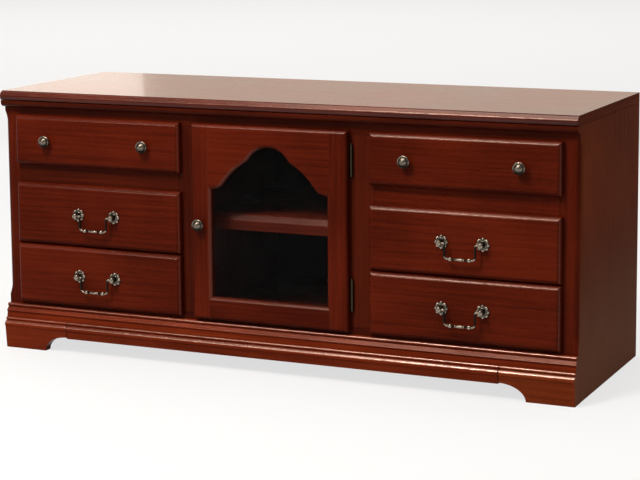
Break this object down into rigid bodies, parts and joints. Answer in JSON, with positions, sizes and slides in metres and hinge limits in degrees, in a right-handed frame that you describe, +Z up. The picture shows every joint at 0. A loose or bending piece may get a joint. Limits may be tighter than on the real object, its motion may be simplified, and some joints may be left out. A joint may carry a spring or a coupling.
{
  "type": "tv stand",
  "caption": "Cherry media cabinet with drawers beside a glazed arched door, moulded base and bracket feet; drawers slide, the door swings and the bail pulls lift.",
  "frame": {"origin": "on the floor, under the middle of the cabinet's bounding box, knobs included", "axes": "+X to the right along the front, +Y from the front to the back, +Z up"},
  "size_m": [1.626, 0.5832, 0.711],
  "materials": {
    "cherry": "dark red cherry stain under satin lacquer",
    "cherry_base": "red cherry stain under satin lacquer, a little lighter",
    "drawer_wood": "pale sealed hardwood",
    "back_board": "brown fibreboard",
    "pewter": "antique pewter plating with dark recesses",
    "hinge_metal": "antique brass",
    "glass": "clear"
  },
  "bodies": {
    "cabinet": {"top_board": "cherry", "crown_moulding": "cherry", "left_side_panel": "cherry", "right_side_panel": "cherry", "left_corner_post": "cherry", "right_corner_post": "cherry", "top_rail": "cherry", "left_mullion": "cherry", "right_mullion": "cherry", "left_partition": "cherry", "right_partition": "cherry", "left_upper_divider": "cherry", "right_upper_divider": "cherry", "left_lower_divider": "cherry", "right_lower_divider": "cherry", "bottom_panel": "cherry", "back_panel": "back_board", "shelf": "cherry", "base_cap_moulding": "cherry_base", "base_apron": "cherry_base", "left_foot": "cherry_base", "right_foot": "cherry_base", "upper_hinge_frame_leaf": "hinge_metal", "lower_hinge_frame_leaf": "hinge_metal"},
    "door": {"door_left_stile": "cherry", "door_right_stile": "cherry", "door_bottom_rail": "cherry", "door_arched_rail": "cherry", "door_glass": "glass", "door_knob": "pewter", "upper_hinge_door_leaf": "hinge_metal", "lower_hinge_door_leaf": "hinge_metal"},
    "left_top_drawer": {"left_top_drawer_front": "cherry", "left_top_drawer_box": "drawer_wood", "left_top_drawer_left_knob": "pewter", "left_top_drawer_right_knob": "pewter"},
    "left_middle_drawer": {"left_middle_drawer_front": "cherry", "left_middle_drawer_box": "drawer_wood", "left_middle_drawer_left_post": "pewter", "left_middle_drawer_right_post": "pewter"},
    "left_middle_bail": {"left_middle_drawer_bail": "pewter"},
    "left_bottom_drawer": {"left_bottom_drawer_front": "cherry", "left_bottom_drawer_box": "drawer_wood", "left_bottom_drawer_left_post": "pewter", "left_bottom_drawer_right_post": "pewter"},
    "left_bottom_bail": {"left_bottom_drawer_bail": "pewter"},
    "right_top_drawer": {"right_top_drawer_front": "cherry", "right_top_drawer_box": "drawer_wood", "right_top_drawer_left_knob": "pewter", "right_top_drawer_right_knob": "pewter"},
    "right_middle_drawer": {"right_middle_drawer_front": "cherry", "right_middle_drawer_box": "drawer_wood", "right_middle_drawer_left_post": "pewter", "right_middle_drawer_right_post": "pewter"},
    "right_middle_bail": {"right_middle_drawer_bail": "pewter"},
    "right_bottom_drawer": {"right_bottom_drawer_front": "cherry", "right_bottom_drawer_box": "drawer_wood", "right_bottom_drawer_left_post": "pewter", "right_bottom_drawer_right_post": "pewter"},
    "right_bottom_bail": {"right_bottom_drawer_bail": "pewter"}
  },
  "joints": [
    {"name": "door_swing", "type": "hinge", "parent": "cabinet", "child": "door", "pos_m": [0.2175, -0.2472, 0.3885], "axis": [0, 0, 1], "range_deg": [0, 90]},
    {"name": "left_top_drawer_slide", "type": "slide", "parent": "cabinet", "child": "left_top_drawer", "axis": [0, -1, 0], "range_m": [0, 0.32]},
    {"name": "left_middle_drawer_slide", "type": "slide", "parent": "cabinet", "child": "left_middle_drawer", "axis": [0, -1, 0], "range_m": [0, 0.32]},
    {"name": "left_bottom_drawer_slide", "type": "slide", "parent": "cabinet", "child": "left_bottom_drawer", "axis": [0, -1, 0], "range_m": [0, 0.32]},
    {"name": "right_top_drawer_slide", "type": "slide", "parent": "cabinet", "child": "right_top_drawer", "axis": [0, -1, 0], "range_m": [0, 0.32]},
    {"name": "right_middle_drawer_slide", "type": "slide", "parent": "cabinet", "child": "right_middle_drawer", "axis": [0, -1, 0], "range_m": [0, 0.32]},
    {"name": "right_bottom_drawer_slide", "type": "slide", "parent": "cabinet", "child": "right_bottom_drawer", "axis": [0, -1, 0], "range_m": [0, 0.32]},
    {"name": "left_middle_bail_swing", "type": "hinge", "parent": "left_middle_drawer", "child": "left_middle_bail", "pos_m": [-0.5205, -0.2812, 0.3835], "axis": [-1, 0, 0], "range_deg": [0, 80]},
    {"name": "left_bottom_bail_swing", "type": "hinge", "parent": "left_bottom_drawer", "child": "left_bottom_bail", "pos_m": [-0.5205, -0.2812, 0.216], "axis": [-1, 0, 0], "range_deg": [0, 80]},
    {"name": "right_middle_bail_swing", "type": "hinge", "parent": "right_middle_drawer", "child": "right_middle_bail", "pos_m": [0.5205, -0.2812, 0.3835], "axis": [-1, 0, 0], "range_deg": [0, 80]},
    {"name": "right_bottom_bail_swing", "type": "hinge", "parent": "right_bottom_drawer", "child": "right_bottom_bail", "pos_m": [0.5205, -0.2812, 0.216], "axis": [-1, 0, 0], "range_deg": [0, 80]}
  ]
}
